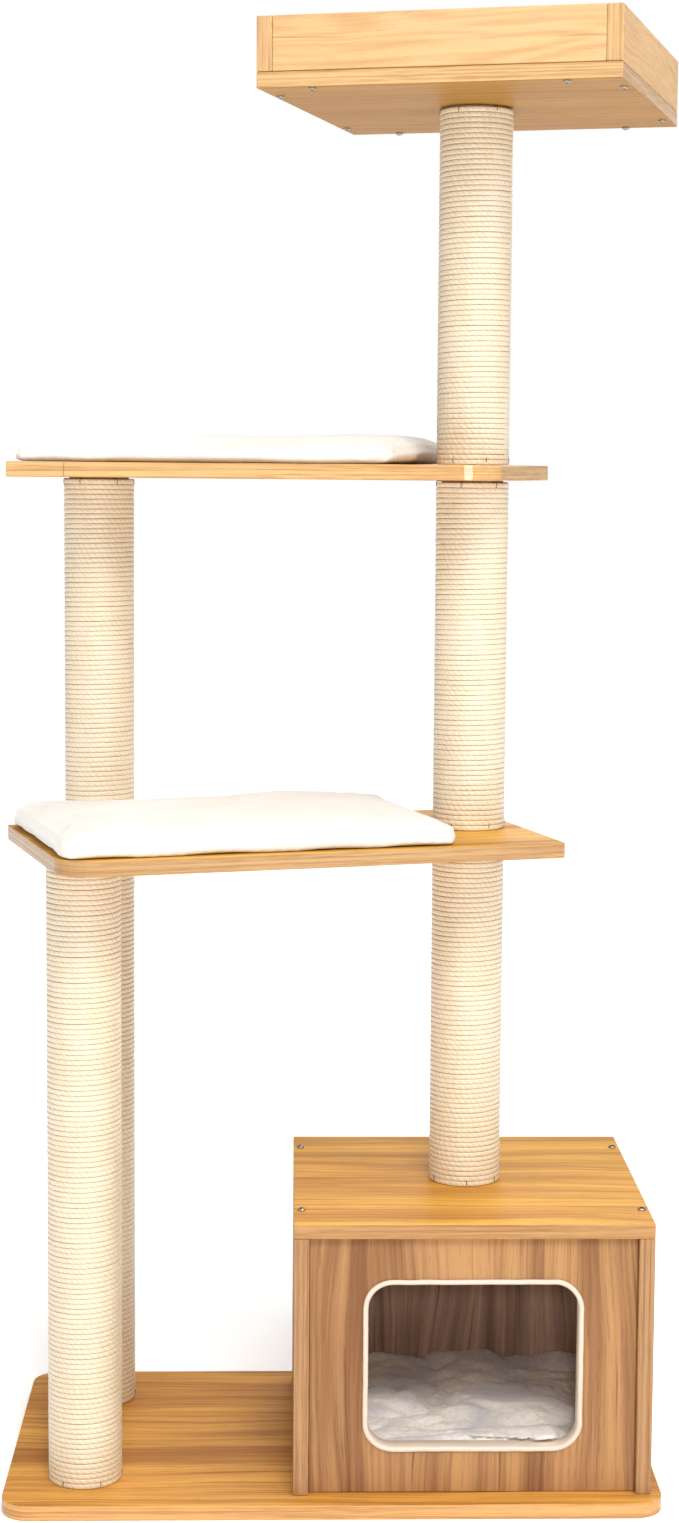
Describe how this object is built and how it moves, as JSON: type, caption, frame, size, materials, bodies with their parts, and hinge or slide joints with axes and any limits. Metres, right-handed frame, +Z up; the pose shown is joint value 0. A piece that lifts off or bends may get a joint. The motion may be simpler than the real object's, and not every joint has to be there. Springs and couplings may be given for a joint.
{
  "type": "cat tree",
  "caption": "Free-standing cat tree: base board, box condo with framed doorway, rope-wrapped posts, two cushioned platforms and an open lookout tray.",
  "frame": {"origin": "centre of the base board's underside, on the floor", "axes": "+Z up, -Y to the side with the condo's doorway, +X to the end the condo stands on"},
  "size_m": [0.676, 0.4955, 1.422],
  "materials": {
    "laminate": "satin oak-look laminate on particle board",
    "sisal": "natural twisted sisal rope",
    "cardboard": "plain wound tube",
    "plug_wood": "raw",
    "fleece": "off-white fleece",
    "plush": "long-pile pale grey plush",
    "cream_edging": "semi-matt",
    "zinc": "bright zinc plate"
  },
  "bodies": {
    "stand": {"base_board": "laminate", "condo_left_panel": "laminate", "condo_right_panel": "laminate", "condo_front_panel": "laminate", "condo_back_panel": "laminate", "condo_top_panel": "laminate", "lower_platform": "laminate", "upper_platform": "laminate", "condo_doorway_trim": "cream_edging", "condo_pad": "plush", "condo_post_wrap": "sisal", "condo_post_core": "cardboard", "condo_post_plug_bottom": "plug_wood", "condo_post_plug_top": "plug_wood", "middle_post_wrap": "sisal", "middle_post_core": "cardboard", "middle_post_plug_bottom": "plug_wood", "middle_post_plug_top": "plug_wood", "top_post_wrap": "sisal", "top_post_core": "cardboard", "top_post_plug_bottom": "plug_wood", "top_post_plug_top": "plug_wood", "front_post_wrap": "sisal", "front_post_core": "cardboard", "front_post_plug_bottom": "plug_wood", "front_post_plug_top": "plug_wood", "back_post_wrap": "sisal", "back_post_core": "cardboard", "back_post_plug_bottom": "plug_wood", "back_post_plug_top": "plug_wood", "condo_top_screw_1": "zinc", "condo_top_screw_2": "zinc", "condo_top_screw_3": "zinc", "condo_top_screw_4": "zinc", "condo_foot_screw_left": "zinc", "condo_foot_screw_right": "zinc", "condo_foot_screw_back": "zinc", "condo_bolt": "zinc", "base_bolt_front": "zinc", "base_bolt_back": "zinc", "lower_stud": "zinc", "upper_stud": "zinc", "lower_bolt": "zinc", "upper_bolt": "zinc", "tray_bolt": "zinc"},
    "lower_cushion": {"lower_cushion": "fleece"},
    "upper_cushion": {"upper_cushion": "fleece"},
    "tray": {"tray_bottom": "laminate", "tray_left_wall": "laminate", "tray_right_wall": "laminate", "tray_front_wall": "laminate", "tray_back_wall": "laminate", "tray_screw_1": "zinc", "tray_screw_2": "zinc", "tray_screw_3": "zinc", "tray_screw_4": "zinc", "tray_screw_5": "zinc", "tray_screw_6": "zinc", "tray_screw_7": "zinc", "tray_screw_8": "zinc"}
  },
  "joints": [
    {"name": "lower_cushion_lift", "type": "slide", "parent": "stand", "child": "lower_cushion", "axis": [0, 0, 1], "range_m": [0, 0.2]},
    {"name": "upper_cushion_lift", "type": "slide", "parent": "stand", "child": "upper_cushion", "axis": [0, 0, 1], "range_m": [0, 0.2]},
    {"name": "tray_swivel", "type": "hinge", "parent": "stand", "child": "tray", "pos_m": [0.135, 0, 1.356], "axis": [0, 0, 1], "range_deg": [-180, 180]}
  ]
}
